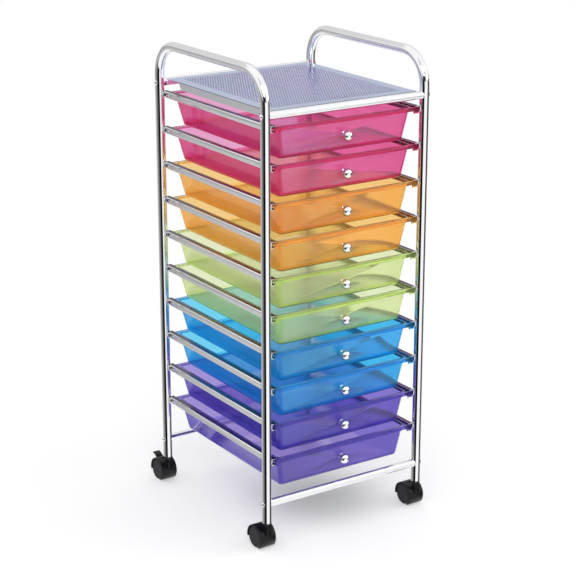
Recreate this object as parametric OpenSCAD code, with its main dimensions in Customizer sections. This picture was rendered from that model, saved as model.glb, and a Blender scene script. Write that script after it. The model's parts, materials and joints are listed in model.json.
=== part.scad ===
// Rolling drawer cart: a bent tube frame on four casters, a perforated top shelf
// and ten tapered drawers that slide in channel rails.
// +Z is up, the drawers open towards -Y, and the origin is on the floor under the
// middle of the whole part, which reaches from the knobs to the brake pedals.

/* [Frame] */
// Distance between the left and right post axes
span_x = 371; // [350:1:420]
// Distance between the front and rear post axes
span_y = 397; // [370:1:440]
// Outer diameter of the side frame tube
tube_d = 19; // [18:0.5:22]
// Wall of the side frame tube
tube_wall = 1.2; // [1:0.1:1.6]
// Centre line radius of the handle bends
bend_r = 65; // [45:1:75]
// Rise of the handle's centre line above the shelf bars
handle_rise = 81; // [78:1:140]
// Height of the open post ends above the floor
post_end_z = 58; // [56:0.5:62]
// Height of the bottom bars' axis above the floor
base_bar_z = 98.5; // [92:0.5:110]
// Outer diameter of the cross bars
bar_d = 16; // [14:0.5:17]
// Wall of the cross bars
bar_wall = 1.2; // [1:0.1:1.6]

/* [Rails] */
// Height of one drawer level
rail_pitch = 74.4; // [73:0.1:84]
// Height of the lowest rail's middle above the bottom bars' axis
base_gap = 85.8; // [76:0.1:100]
// Height of the shelf bars' axis above the top rail's middle
shelf_gap = 26.6; // [25:0.1:40]
// Height of the channel section
rail_h = 13; // [12:0.2:14]
// Width of the channel section
rail_w = 11; // [9:0.5:13]
// Sheet thickness of the channel
rail_t = 1.2; // [1:0.1:1.4]
// Outer corner radius of the channel
rail_corner = 2.4; // [2:0.1:3]
// Length by which the channel passes the front post axes
rail_front = 2.6; // [2:0.1:5]
// Length by which the channel passes the rear post axes
rail_rear = 8.5; // [6:0.5:12]
// Height of the pressed pads that meet the posts
pad_h = 1.2; // [0.8:0.1:1.6]
// Length of the pressed pads
pad_l = 22; // [16:1:30]
// Width of the pressed pads
pad_w = 7; // [5:0.5:8]
// Length by which the pads pass the post axes
pad_pass = 1.4; // [0.5:0.1:1.8]

/* [Shelf] */
// Sheet thickness of the shelf
sheet_t = 1; // [0.8:0.1:1.5]
// Distance from the shelf's top face down from the crown of the bars
shelf_drop = 1; // [0.5:0.1:3]
// Gap between the shelf's sides and the posts
shelf_side_gap = 4; // [2:0.5:10]
// Depth of the shelf's front and rear flanges
end_flange = 13; // [9:0.5:16]
// Depth of the shelf's side flanges
side_flange = 15; // [8:0.5:18]
// Distance from the shelf's front to where the side flanges start
flange_front_inset = 26; // [20:1:80]
// Distance from the shelf's rear to where the side flanges end
flange_rear_inset = 46; // [20:1:80]
// Length by which the side flanges narrow at each end
flange_slant = 9; // [0:1:30]
// Plain border round the holes
hole_margin = 24; // [18:1:40]
// Diameter of the holes
hole_d = 3.6; // [2.5:0.1:5]
// Spacing of the holes cut here, three times the real sheet's spacing
hole_pitch = 17.4; // [15:0.1:30]

/* [Drawers] */
// Width of the running gap between a drawer's rim and the rail's web
rim_side_gap = 1; // [0.5:0.1:2]
// Clearance between the rim's side lips and the rail's lower flange
rim_play = 0.3; // [0.3:0.05:0.5]
// Height of the rim in the rail
rim_h = 8.6; // [7:0.1:9]
// Thickness of the rim plate and its lips
rim_t = 2; // [1.6:0.1:2.4]
// Width of the side rims outside the walls
side_rim = 15.5; // [14:0.5:22]
// Width of the front rim ahead of the wall
front_rim = 7.5; // [6:0.5:16]
// Width of the back rim behind the wall
back_rim = 9.5; // [6:0.5:20]
// Gap between the front lip and the rail ends
closed_gap = 0.8; // [0.5:0.1:3]
// Thickness of the front lip
lip_t = 3; // [2:0.1:4]
// Height of the front lip
lip_h = 8; // [6:0.5:10]
// Height of the front lip's top edge above the rim plate
lip_rise = 1.8; // [0:0.1:2.5]
// Gap between the front lip's ends and the rim's sides
lip_end_gap = 4.5; // [2:0.5:6]
// Width of the stop tabs under the front lip
tab_w = 11.5; // [8:0.5:14]
// Height of the stop tabs
tab_h = 5; // [2:0.5:6]
// Distance from the rail's rear end to the drawer's back edge
drawer_back_gap = 3; // [2:0.5:20]
// Depth of the drawer body from its rim plate to its underside
body_h = 66.5; // [40:0.5:68]
// Thickness of the drawer walls
wall_t = 1.8; // [1.4:0.1:2.4]
// Thickness of the drawer floor
floor_t = 2; // [1.5:0.1:3]
// Taper of each side wall from top to bottom
side_taper = 12.5; // [4:0.5:20]
// Taper of the front wall from top to bottom
front_taper = 9.8; // [2:0.1:14]
// Taper of the back wall from top to bottom
back_taper = 17; // [4:0.5:20]
// Radius of the upright corners
corner_r = 9.5; // [8:0.5:16]
// Size of the rounded lower edge
edge_r = 4; // [2:0.5:6]

/* [Knobs] */
// Diameter of the knob's ball
knob_d = 20.5; // [16:0.5:22]
// Diameter of the knob's foot
knob_foot_d = 12; // [10:0.5:16]
// Thickness of the knob's foot
knob_foot_t = 2.2; // [1.5:0.1:3]
// Diameter of the knob's neck
knob_neck_d = 9; // [8:0.5:12]
// Height of the ball's centre above the drawer front
knob_reach = 11.6; // [11:0.1:18]
// Depth of the knob's axis below the middle of the rail
knob_drop = 30.5; // [20:0.5:38]
// Diameter of the knob screw
knob_screw_d = 4; // [3:0.5:5]
// Diameter of the knob screw's head
knob_head_d = 8; // [7:0.5:10]
// Height of the knob screw's head
knob_head_t = 2.4; // [2:0.1:3]

/* [Bolts] */
// Diameter of the frame bolts
bolt_d = 6; // [5:0.5:6.5]
// Diameter of the bolt heads
bolt_head_d = 10.5; // [9:0.5:14]
// Height of the bolt heads
bolt_head_h = 3; // [2.5:0.1:3.5]
// Width across the flats of the key socket
key_w = 3.6; // [3:0.1:4]
// Length of the threaded plugs in the bar ends
plug_l = 20; // [14:1:30]
// Clearance of a bolt in its post
bolt_play = 0.2; // [0.1:0.05:0.5]

/* [Casters] */
// Diameter of the wheels
wheel_d = 44; // [42:0.5:45]
// Width of one wheel
wheel_w = 10.4; // [9:0.1:12]
// Distance of the axle behind the stem
trail = 20; // [19:0.5:22]
// Thickness of the web between the wheels
web_t = 12.4; // [12:0.2:14]
// Gap between a wheel and the web
wheel_side_gap = 0.4; // [0.3:0.1:1]
// Gap between the wheels' treads and the hood
wheel_top_gap = 0.8; // [0.5:0.1:1.2]
// Thickness of the hood
hood_t = 3; // [2.4:0.1:3.2]
// Distance by which the hood overhangs the wheels at each side
hood_brow = 0.9; // [0.5:0.1:2]
// Height of the hood's front edge above the floor
hood_front_z = 3.5; // [2.5:0.1:8]
// Height of the hood's rear edge above the floor
hood_rear_z = 17; // [12:0.5:19]
// Depth of the recess round the stem in the hood
recess_t = 2; // [0.8:0.1:2.2]
// Diameter of the recess round the stem
recess_d = 25.5; // [18:0.5:30]
// Distance from the hood's front to the recess
recess_inset = 0.3; // [0.1:0.1:3]
// Diameter of the boss that holds the stem
boss_d = 11.4; // [11:0.1:11.5]
// Diameter of the caster stem
stem_d = 8; // [7:0.5:8.5]
// Length of the stem inside the caster's boss
stem_l = 28; // [24:0.5:29]
// Diameter of the wheel axle
axle_d = 4; // [3:0.5:5]
// Diameter of the wheel's hub
hub_d = 10; // [8:0.5:14]
// Thickness of the wheel's outer face
wheel_face_t = 2.6; // [2:0.1:4]
// Thickness of the tread ring
tread_t = 4; // [3:0.5:6]
// Running clearance of the stem and the wheels on their pins
pin_play = 0.06; // [0.03:0.01:0.1]
// Clearance of fixed pins and plugs in their seats
seat_play = 0.02; // [0.01:0.01:0.04]
// Thickness of the plastic flange under each post
socket_flange_t = 3; // [2:0.5:3]
// Length of the plastic socket inside each post
socket_l = 28; // [20:1:40]

/* [Brake pedals] */
// Width of the pedal's blade
pedal_w = 15; // [12:0.5:15.5]
// Width of the barrel that the pedal turns on
barrel_w = 17.6; // [17:0.1:18.4]
// Width of the cam that presses on the treads
cam_w = 16.4; // [15.8:0.1:16.8]
// Thickness of the pedal's blade
pedal_t = 2.6; // [2:0.1:3.2]
// Curl radius of the pedal's blade
pedal_curl = 21; // [18:0.5:26]
// Angle that the pedal's blade curls through
pedal_sweep = 54; // [44:1:58]
// Rise of the blade where it leaves the pivot, in degrees
pedal_pitch = 52; // [42:1:56]
// Angle of the pedal's pivot behind the top of the hood
pedal_angle = 42; // [38:1:46]
// Depth of the pedal's pivot below the hood's surface
pivot_depth = 0.9; // [0.7:0.1:1]
// Diameter of the pedal's pivot pins
pedal_pin_d = 2; // [1.6:0.1:2.2]
// Outer diameter of the ears that hold the pins
ear_d = 4.8; // [4.6:0.1:5]
// Gap that the cam leaves to the treads
cam_gap = 0.3; // [0.2:0.05:0.5]

/* [Hidden] */
$fn = 48;

LEVELS = 10;
// A small step that lets cutting shapes pass a face
cut = 1;
// A small step by which joined shapes sink into each other
join = 0.2;

post_x = span_x / 2;
post_y = span_y / 2;
lowest_rail_z = base_bar_z + base_gap;
top_rail_z = lowest_rail_z + (LEVELS - 1) * rail_pitch;
shelf_bar_z = top_rail_z + shelf_gap;
handle_z = shelf_bar_z + handle_rise;
tube_id = tube_d - 2 * tube_wall;

// Faces of the rails, measured at the right side
web_outer_x = post_x - tube_d / 2 - pad_h;
web_inner_x = web_outer_x - rail_t;
rail_tip_x = web_outer_x - rail_w;
rail_front_y = -post_y - rail_front;
rail_rear_y = post_y + rail_rear;

// Faces of the drawers; heights are measured from the middle of the drawer's rail
rim_x = web_inner_x - rim_side_gap;
rim_low = -rail_h / 2 + rail_t + rim_play;
rim_top = rim_low + rim_h;
lip_back_y = rail_front_y - closed_gap;
lip_front_y = lip_back_y - lip_t;
lip_x = rim_x - lip_end_gap;
drawer_back_y = rail_rear_y - drawer_back_gap;
body_x = rim_x - side_rim;
body_front_y = lip_back_y + front_rim;
body_back_y = drawer_back_y - back_rim;
body_top = rim_top;
body_low = rim_top - body_h;

// The knob stands square on the sloping front wall
front_slope = atan(front_taper / body_h);
knob_z = -knob_drop;
knob_y = body_front_y + (body_top - knob_z) * front_taper / body_h;

// Casters are drawn about their stem's axis and then moved under a post
wheel_r = wheel_d / 2;
pocket_r = wheel_r + wheel_top_gap;
hood_r = pocket_r + hood_t;
wheel_in_x = web_t / 2 + wheel_side_gap;
wheel_out_x = wheel_in_x + wheel_w;
hood_x = wheel_out_x + hood_brow;
boss_z = post_end_z - socket_flange_t - 3.5;
stem_low_z = boss_z - stem_l;
pivot_r = hood_r - pivot_depth;
pivot_y = trail + pivot_r * sin(pedal_angle);
pivot_z = wheel_r + pivot_r * cos(pedal_angle);
barrel_r = pedal_pin_d / 2 + 1;
ear_t = 3;
ear_x = barrel_w / 2 + wheel_side_gap;
cam_t = 2;
cam_reach = pivot_r - wheel_r - cam_gap;
cam_l = sqrt(cam_reach * cam_reach - cam_t * cam_t / 4);

// The posts stand evenly about a middle plane that lies middle_y ahead of the part's own middle
front_y = knob_y - knob_reach * cos(front_slope) - knob_d / 2;
tip_angle = 90 + pedal_pitch - pedal_sweep;
tip_r = pedal_curl + (tip_angle < 90 ? 1 : -1) * pedal_t / 2;
rear_y = post_y + pivot_y + pedal_curl * sin(pedal_pitch) + tip_r * cos(tip_angle);
middle_y = (front_y + rear_y) / 2;

// Post places: x side, y side
FRONT_LEFT = [-1, -1];
FRONT_RIGHT = [1, -1];
REAR_LEFT = [-1, 1];
REAR_RIGHT = [1, 1];
CORNERS = [FRONT_LEFT, FRONT_RIGHT, REAR_LEFT, REAR_RIGHT];

chrome = "silver";
black = "dimgray";
DRAWER_COLOURS = ["deeppink", "deeppink", "orange", "orange", "yellowgreen", "yellowgreen",
    "deepskyblue", "deepskyblue", "blueviolet", "blueviolet"];

function rail_z(level) = top_rail_z - (level - 1) * rail_pitch;

// Moves what is drawn about the posts' middle plane to its place
module placed() {
    translate([0, -middle_y, 0]) children();
}

// A round bar along X, centred on the origin
module bar_x(d, l) {
    rotate([0, 90, 0]) cylinder(d = d, h = l, center = true);
}

// A round bar along X from x1 to x2
module pin_x(d, x1, x2) {
    translate([x1, 0, 0]) rotate([0, 90, 0]) cylinder(d = d, h = x2 - x1);
}

// A rectangle with round corners, given by its edges
module round_rect(x, y1, y2, r) {
    translate([-x, y1 + r]) square([2 * x, y2 - y1 - 2 * r]);
    translate([-x + r, y1]) square([2 * x - 2 * r, y2 - y1]);
    for (sx = [-1, 1]) {
        translate([sx * (x - r), y1 + r]) circle(r);
        translate([sx * (x - r), y2 - r]) circle(r);
    }
}

// The bent rod that makes a side frame's outside and its bore
module u_rod(d, low_z) {
    for (s = [-1, 1]) {
        translate([0, s * post_y, low_z]) cylinder(d = d, h = handle_z - bend_r - low_z);
        translate([0, s * (post_y - bend_r), handle_z - bend_r])
            rotate([0, 0, s * 90]) rotate([90, 0, 0])
                rotate_extrude(angle = 90) translate([bend_r, 0]) circle(d = d);
    }
    translate([0, -post_y + bend_r, handle_z]) rotate([-90, 0, 0])
        cylinder(d = d, h = 2 * (post_y - bend_r));
}

module side_frame(side) {
    color(chrome) translate([side * post_x, 0, 0]) difference() {
        u_rod(tube_d, post_end_z);
        u_rod(tube_id, post_end_z - cut);
        for (s = [-1, 1], z = [base_bar_z, shelf_bar_z])
            translate([0, s * post_y, z]) bar_x(bolt_d + 2 * bolt_play, tube_d + 2 * cut);
    }
}

// Cross bar with its ends shaped round the posts
module cross_bar(y_side, z) {
    color(chrome) difference() {
        translate([0, y_side * post_y, z]) bar_x(bar_d, span_x);
        translate([0, y_side * post_y, z]) bar_x(bar_d - 2 * bar_wall, span_x + cut);
        for (sx = [-1, 1])
            translate([sx * post_x, y_side * post_y, z - bar_d])
                cylinder(d = tube_d + 2 * seat_play, h = 2 * bar_d);
    }
}

// Threaded plugs pressed into the bar ends
module bar_end_plugs() {
    for (p = CORNERS, z = [base_bar_z, shelf_bar_z]) color("gray") difference() {
        translate([p.x * post_x, p.y * post_y, z])
            rotate([0, 0, p.x > 0 ? 180 : 0])
                pin_x(bar_d - 2 * bar_wall - 2 * seat_play, 0, tube_d / 2 + plug_l);
        translate([p.x * post_x, p.y * post_y, z]) {
            bar_x(bolt_d + 2 * seat_play, 2 * plug_l + 2 * tube_d);
            translate([0, 0, -bar_d]) cylinder(d = tube_d + 2 * seat_play, h = 2 * bar_d);
        }
    }
}

// Domed bolt with a hexagonal key socket, along -X from the outer face of a post
module frame_bolt() {
    dome_r = (bolt_head_d * bolt_head_d / 4 + bolt_head_h * bolt_head_h) / (2 * bolt_head_h);
    difference() {
        union() {
            rotate([0, 90, 0]) rotate_extrude() intersection() {
                translate([0, bolt_head_h - dome_r]) circle(dome_r);
                square([bolt_head_d, bolt_head_d]);
            }
            pin_x(bolt_d, -tube_d - plug_l + 2, join);
        }
        translate([bolt_head_h / 2, 0, 0]) rotate([0, 90, 0])
            cylinder(d = key_w / cos(30), h = bolt_head_h, $fn = 6);
    }
}

module frame_bolts() {
    for (p = CORNERS, z = [base_bar_z, shelf_bar_z])
        color(chrome) translate([p.x * (post_x + tube_d / 2), p.y * post_y, z])
            rotate([0, 0, p.x > 0 ? 0 : 180]) frame_bolt();
}

// Channel section of the right rail, web to the right, centred on the rail's middle
module channel_outline(inset) {
    r = rail_corner - inset;
    x1 = rail_tip_x - (inset > 0 ? cut : 0);
    x2 = web_outer_x - inset;
    h = rail_h - 2 * inset;
    translate([x1, -h / 2]) square([x2 - r - x1, h]);
    translate([x2 - r - join, -h / 2 + r]) square([r + join, h - 2 * r]);
    for (s = [-1, 1]) translate([x2 - r, s * (h / 2 - r)]) circle(r);
}

// Oval pad pressed out of the web, or with inset > 0 the hollow behind it
module pad(inset) {
    r = pad_w / 2 - inset;
    half = pad_l / 2 - pad_w / 2;
    for (s = [-1, 1]) translate([0, s * half, 0]) pin_x(2 * r, 0, pad_h + rail_t);
    translate([0, -half, -r]) cube([pad_h + rail_t, 2 * half, 2 * r]);
}

// Right rail of one level, with pressed pads at both posts and a folded rear stop
module rail() {
    pad_y = post_y + pad_pass - pad_l / 2;
    difference() {
        union() {
            difference() {
                translate([0, rail_rear_y, 0]) rotate([90, 0, 0])
                    linear_extrude(rail_rear_y - rail_front_y) channel_outline(0);
                translate([0, rail_rear_y - rail_t, 0]) rotate([90, 0, 0])
                    linear_extrude(rail_rear_y - rail_front_y) channel_outline(rail_t);
            }
            for (s = [-1, 1]) translate([web_inner_x, s * pad_y, 0]) pad(0);
        }
        for (s = [-1, 1]) translate([web_inner_x - rail_t, s * pad_y, 0]) pad(rail_t);
    }
}

module rails(level) {
    color(chrome) translate([0, 0, rail_z(level)]) {
        rail();
        mirror([1, 0, 0]) rail();
    }
}

// Perforated shelf sheet with flanges turned down on all four sides
module shelf_panel() {
    top_z = shelf_bar_z + bar_d / 2 - shelf_drop;
    x = post_x - tube_d / 2 - shelf_side_gap;
    y = post_y - bar_d / 2;
    row = hole_pitch * sin(60);
    nx = floor((x - hole_margin) / hole_pitch);
    ny = floor((y - hole_margin) / row);
    color("lightsteelblue") {
        difference() {
            translate([-x, -y, top_z - sheet_t]) cube([2 * x, 2 * y, sheet_t]);
            for (j = [-ny : ny], i = [-nx : nx - abs(j % 2)])
                translate([(i + abs(j % 2) / 2) * hole_pitch, j * row, top_z - sheet_t - cut])
                    cylinder(d = hole_d, h = sheet_t + 2 * cut);
        }
        for (s = [-1, 1])
            translate([-x, s > 0 ? y - sheet_t : -y, top_z - end_flange]) cube([2 * x, sheet_t, end_flange]);
        for (s = [-1, 1])
            translate([s > 0 ? x - sheet_t : -x, 0, top_z]) rotate([90, 0, 90]) linear_extrude(sheet_t)
                polygon([[-y + flange_front_inset, -sheet_t / 2],
                    [-y + flange_front_inset + flange_slant, -side_flange],
                    [y - flange_rear_inset - flange_slant, -side_flange],
                    [y - flange_rear_inset, -sheet_t / 2]]);
    }
}

// Solid that tapers like the drawer body; inset > 0 gives the space inside the walls
module tub(inset, top, low) {
    r_top = corner_r - inset;
    r_low = corner_r - inset - edge_r / 2;
    slice = 0.01;
    r_edge = max(edge_r - inset, 1);
    rounding = [for (a = [0, 30, 60]) [low + r_edge * (1 - cos(a)), r_edge * (1 - sin(a))]];
    steps = concat(rounding, [[low + r_edge, 0], [top, 0]]);
    hull() for (s = steps) {
        k = (body_top - s[0]) / body_h;
        x = body_x - inset - k * side_taper - s[1];
        y1 = body_front_y + inset + k * front_taper + s[1];
        y2 = body_back_y - inset - k * back_taper - s[1];
        r = s[0] == top ? r_top : r_low;
        for (sx = [-1, 1]) {
            translate([sx * (x - r), y1 + r, s[0]]) cylinder(r = r, h = slice);
            translate([sx * (x - r), y2 - r, s[0]]) cylinder(r = r, h = slice);
        }
    }
}

// Everything on a drawer that stands out round its opening
module drawer_rim() {
    rim_r = 4;
    translate([0, 0, rim_top - rim_t]) linear_extrude(rim_t)
        round_rect(rim_x, lip_back_y - join, drawer_back_y, rim_r);
    for (s = [-1, 1]) translate([s > 0 ? rim_x - rim_t : -rim_x, rail_front_y + rim_r, rim_low])
        cube([rim_t, drawer_back_y - rail_front_y - 2 * rim_r, rim_top - rim_low]);
    translate([-rim_x + 2 * rim_r, drawer_back_y - rim_t, rim_low + rim_t])
        cube([2 * (rim_x - 2 * rim_r), rim_t, rim_top - rim_low - rim_t]);
    translate([-lip_x, lip_front_y, rim_top + lip_rise - lip_h]) cube([2 * lip_x, lip_t, lip_h]);
    for (s = [-1, 1])
        translate([s > 0 ? lip_x - tab_w : -lip_x, lip_front_y, rim_top + lip_rise - lip_h - tab_h])
            cube([tab_w, lip_t, tab_h + join]);
}

// Moves children to the knob's place, their Z axis standing out of the front wall
module at_knob() {
    translate([0, knob_y, knob_z]) rotate([90 + front_slope, 0, 0]) children();
}

module drawer(level) {
    color(DRAWER_COLOURS[level - 1], 0.6) translate([0, 0, rail_z(level)]) difference() {
        union() {
            tub(0, body_top - rim_t / 2, body_low);
            drawer_rim();
        }
        tub(wall_t, body_top + cut, body_low + floor_t);
        at_knob() translate([0, 0, -wall_t - cut]) cylinder(d = knob_screw_d + 0.4, h = wall_t + 2 * cut);
    }
}

// Ball knob and its screw from inside the drawer, two separate solids
module knob(level) {
    bore_l = knob_reach + 2;
    translate([0, 0, rail_z(level)]) {
        color(chrome) at_knob() difference() {
            union() {
                cylinder(d = knob_foot_d, h = knob_foot_t);
                cylinder(d = knob_neck_d, h = knob_reach);
                translate([0, 0, knob_reach]) sphere(d = knob_d);
            }
            translate([-knob_d, -knob_d, -knob_d]) cube([2 * knob_d, 2 * knob_d, knob_d]);
            translate([0, 0, -cut]) cylinder(d = knob_screw_d + 2 * seat_play, h = bore_l + cut);
        }
        color("gray") at_knob() {
            translate([0, 0, -wall_t - knob_head_t]) cylinder(d = knob_head_d, h = knob_head_t);
            translate([0, 0, -wall_t - join]) cylinder(d = knob_screw_d, h = wall_t + join + bore_l - 1);
        }
    }
}

// Plastic sockets pushed into the open post ends
module stem_sockets() {
    for (p = CORNERS) color(black) translate([p.x * post_x, p.y * post_y, 0]) difference() {
        union() {
            translate([0, 0, post_end_z - socket_flange_t]) cylinder(d = tube_d, h = socket_flange_t);
            translate([0, 0, post_end_z - join]) cylinder(d = tube_id - 2 * seat_play, h = socket_l + join);
        }
        translate([0, 0, post_end_z - socket_flange_t - cut])
            cylinder(d = stem_d + 2 * seat_play, h = socket_l + socket_flange_t + 2 * cut);
    }
}

module caster_stems() {
    for (p = CORNERS) color(chrome) translate([p.x * post_x, p.y * post_y, stem_low_z])
        cylinder(d = stem_d, h = post_end_z + socket_l - 2 - stem_low_z);
}

// The body of one caster: web, stem boss and the hood over both wheels
module hood(with_brake) {
    difference() {
        union() {
            difference() {
                translate([0, trail, wheel_r]) bar_x(2 * hood_r, 2 * hood_x);
                for (s = [-1, 1]) translate([0, trail, wheel_r]) rotate([0, 0, s > 0 ? 0 : 180])
                    pin_x(2 * pocket_r, web_t / 2, hood_x + cut);
                translate([-hood_x - cut, trail - hood_r - cut, -hood_r])
                    cube([2 * (hood_x + cut), 2 * (hood_r + cut), hood_front_z + hood_r]);
                translate([-hood_x - cut, trail, -hood_r])
                    cube([2 * (hood_x + cut), hood_r + cut, hood_rear_z + hood_r]);
                difference() {
                    hood_recess();
                    translate([0, trail, wheel_r]) bar_x(2 * (hood_r - recess_t), 2 * hood_x + cut);
                }
                if (with_brake) pedal_slot();
            }
            translate([0, trail, wheel_r]) bar_x(2 * (wheel_r - tread_t), web_t);
            translate([0, 0, wheel_r]) cylinder(d = boss_d, h = boss_z - wheel_r);
            if (with_brake) pedal_ears();
        }
        translate([0, 0, stem_low_z - 1])
            cylinder(d = stem_d + 2 * pin_play, h = boss_z - stem_low_z + 1 + cut);
        translate([0, trail, wheel_r]) bar_x(axle_d + 2 * seat_play, web_t + 2 * cut);
        if (with_brake) translate([0, pivot_y, pivot_z])
            bar_x(pedal_pin_d + 2 * pin_play, 2 * (ear_x + ear_t) + cut);
    }
}

// Round well that the stem and its boss stand in
module hood_recess() {
    translate([0, trail - hood_r + recess_inset + recess_d / 2, wheel_r])
        cylinder(d = recess_d, h = hood_r + cut);
}

// Moves children to the pedal's pivot, their Z axis pointing away from the axle
module at_pivot() {
    translate([0, pivot_y, pivot_z]) rotate([-pedal_angle, 0, 0]) children();
}

// Opening in the hood that the brake cam reaches through
module pedal_slot() {
    at_pivot() translate([-ear_x, -5, -cam_reach - wheel_side_gap]) cube([2 * ear_x, 10, 4 * hood_t]);
}

// Ears at both sides of the slot that hold the pedal's pins
module pedal_ears() {
    for (s = [-1, 1]) at_pivot() translate([s > 0 ? ear_x : -ear_x - ear_t, 0, 0])
        rotate([0, 90, 0]) cylinder(d = ear_d, h = ear_t);
}

// Brake pedal: barrel with two pins, a cam over the treads and a curled blade
module pedal() {
    at_pivot() {
        bar_x(2 * barrel_r, barrel_w);
        bar_x(pedal_pin_d, 2 * (ear_x + ear_t - 0.4));
        rotate([50, 0, 0]) translate([-cam_w / 2, -cam_t / 2, -cam_l]) cube([cam_w, cam_t, cam_l]);
    }
    translate([0, pivot_y + pedal_curl * sin(pedal_pitch), pivot_z - pedal_curl * cos(pedal_pitch)])
        rotate([90, 0, 90]) rotate([0, 0, 90 + pedal_pitch - pedal_sweep]) rotate_extrude(angle = pedal_sweep)
            translate([pedal_curl - pedal_t / 2, -pedal_w / 2]) square([pedal_t, pedal_w]);
}

// One wheel on the right of the web, open towards the web
module wheel() {
    face_x = wheel_w;
    chamfer = 1.2;
    translate([wheel_in_x, trail, wheel_r]) rotate([0, 90, 0]) difference() {
        rotate_extrude() polygon([[0, 0], [hub_d / 2, 0], [hub_d / 2, face_x - wheel_face_t],
            [wheel_r - tread_t, face_x - wheel_face_t], [wheel_r - tread_t, 0], [wheel_r - chamfer, 0],
            [wheel_r, chamfer], [wheel_r, face_x - chamfer], [wheel_r - chamfer, face_x],
            [wheel_r - 2 * chamfer, face_x - 0.5], [0, face_x - 0.5]]);
        translate([0, 0, -cut]) cylinder(d = axle_d + 2 * pin_play, h = face_x - wheel_face_t + cut);
    }
}

module axle() {
    half = wheel_in_x + wheel_w - wheel_face_t - 0.6;
    translate([0, trail, wheel_r]) bar_x(axle_d, 2 * half);
}

module at_corner(p) {
    placed() translate([p.x * post_x, p.y * post_y, 0]) children();
}

// A caster's wheel; outer ones stand away from the cart's middle
module caster_wheel(p, outer) {
    side = outer ? p.x : -p.x;
    color("black") at_corner(p) mirror([side > 0 ? 0 : 1, 0, 0]) wheel();
}

placed() side_frame(-1);  // frame_left
placed() side_frame(1);  // frame_right
placed() shelf_panel();
placed() cross_bar(-1, shelf_bar_z);  // shelf_bar_front
placed() cross_bar(1, shelf_bar_z);  // shelf_bar_rear
placed() cross_bar(-1, base_bar_z);  // base_bar_front
placed() cross_bar(1, base_bar_z);  // base_bar_rear
placed() bar_end_plugs();
placed() frame_bolts();
placed() rails(1);  // rails_1
placed() rails(2);  // rails_2
placed() rails(3);  // rails_3
placed() rails(4);  // rails_4
placed() rails(5);  // rails_5
placed() rails(6);  // rails_6
placed() rails(7);  // rails_7
placed() rails(8);  // rails_8
placed() rails(9);  // rails_9
placed() rails(10);  // rails_10
placed() drawer(1);  // drawer_1
placed() drawer(2);  // drawer_2
placed() drawer(3);  // drawer_3
placed() drawer(4);  // drawer_4
placed() drawer(5);  // drawer_5
placed() drawer(6);  // drawer_6
placed() drawer(7);  // drawer_7
placed() drawer(8);  // drawer_8
placed() drawer(9);  // drawer_9
placed() drawer(10);  // drawer_10
placed() knob(1);  // knob_1
placed() knob(2);  // knob_2
placed() knob(3);  // knob_3
placed() knob(4);  // knob_4
placed() knob(5);  // knob_5
placed() knob(6);  // knob_6
placed() knob(7);  // knob_7
placed() knob(8);  // knob_8
placed() knob(9);  // knob_9
placed() knob(10);  // knob_10
placed() stem_sockets();
placed() caster_stems();
color(black) at_corner(FRONT_LEFT) hood(false);  // caster_hood_front_left
color(black) at_corner(FRONT_RIGHT) hood(false);  // caster_hood_front_right
color(black) at_corner(REAR_LEFT) hood(true);  // caster_hood_rear_left
color(black) at_corner(REAR_RIGHT) hood(true);  // caster_hood_rear_right
color(chrome) at_corner(FRONT_LEFT) axle();  // axle_front_left
color(chrome) at_corner(FRONT_RIGHT) axle();  // axle_front_right
color(chrome) at_corner(REAR_LEFT) axle();  // axle_rear_left
color(chrome) at_corner(REAR_RIGHT) axle();  // axle_rear_right
caster_wheel(FRONT_LEFT, true);  // wheel_front_left_outer
caster_wheel(FRONT_LEFT, false);  // wheel_front_left_inner
caster_wheel(FRONT_RIGHT, true);  // wheel_front_right_outer
caster_wheel(FRONT_RIGHT, false);  // wheel_front_right_inner
caster_wheel(REAR_LEFT, true);  // wheel_rear_left_outer
caster_wheel(REAR_LEFT, false);  // wheel_rear_left_inner
caster_wheel(REAR_RIGHT, true);  // wheel_rear_right_outer
caster_wheel(REAR_RIGHT, false);  // wheel_rear_right_inner
color(black) at_corner(REAR_LEFT) pedal();  // brake_pedal_left
color(black) at_corner(REAR_RIGHT) pedal();  // brake_pedal_right
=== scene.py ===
import json
import math

import bmesh
import bpy
from mathutils import Matrix, Vector


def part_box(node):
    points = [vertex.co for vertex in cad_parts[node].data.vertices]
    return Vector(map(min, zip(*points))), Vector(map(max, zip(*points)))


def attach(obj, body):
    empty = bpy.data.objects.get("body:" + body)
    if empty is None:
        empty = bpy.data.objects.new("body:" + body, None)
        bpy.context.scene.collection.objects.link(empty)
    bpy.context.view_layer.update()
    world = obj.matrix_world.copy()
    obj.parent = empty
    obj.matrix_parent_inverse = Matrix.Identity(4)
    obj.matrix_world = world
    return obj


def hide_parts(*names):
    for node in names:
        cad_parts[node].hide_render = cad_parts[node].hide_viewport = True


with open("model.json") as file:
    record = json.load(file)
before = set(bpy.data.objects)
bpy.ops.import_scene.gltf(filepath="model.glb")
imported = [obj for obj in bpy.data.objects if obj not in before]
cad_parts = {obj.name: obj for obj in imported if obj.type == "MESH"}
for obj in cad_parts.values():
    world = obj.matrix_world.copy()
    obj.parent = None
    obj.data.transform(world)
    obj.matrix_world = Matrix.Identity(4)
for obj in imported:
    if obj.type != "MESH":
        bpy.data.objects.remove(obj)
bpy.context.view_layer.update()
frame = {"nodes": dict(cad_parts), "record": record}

bl_info = {
    "name": "Rolling drawer cart",
    "version": (1, 0, 0),
    "blender": (4, 5, 0),
    "location": "View3D > Sidebar > Drawer cart",
    "description": "Builds a chrome tube cart with ten translucent drawers around its packed frame",
    "category": "Add Mesh",
}

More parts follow.
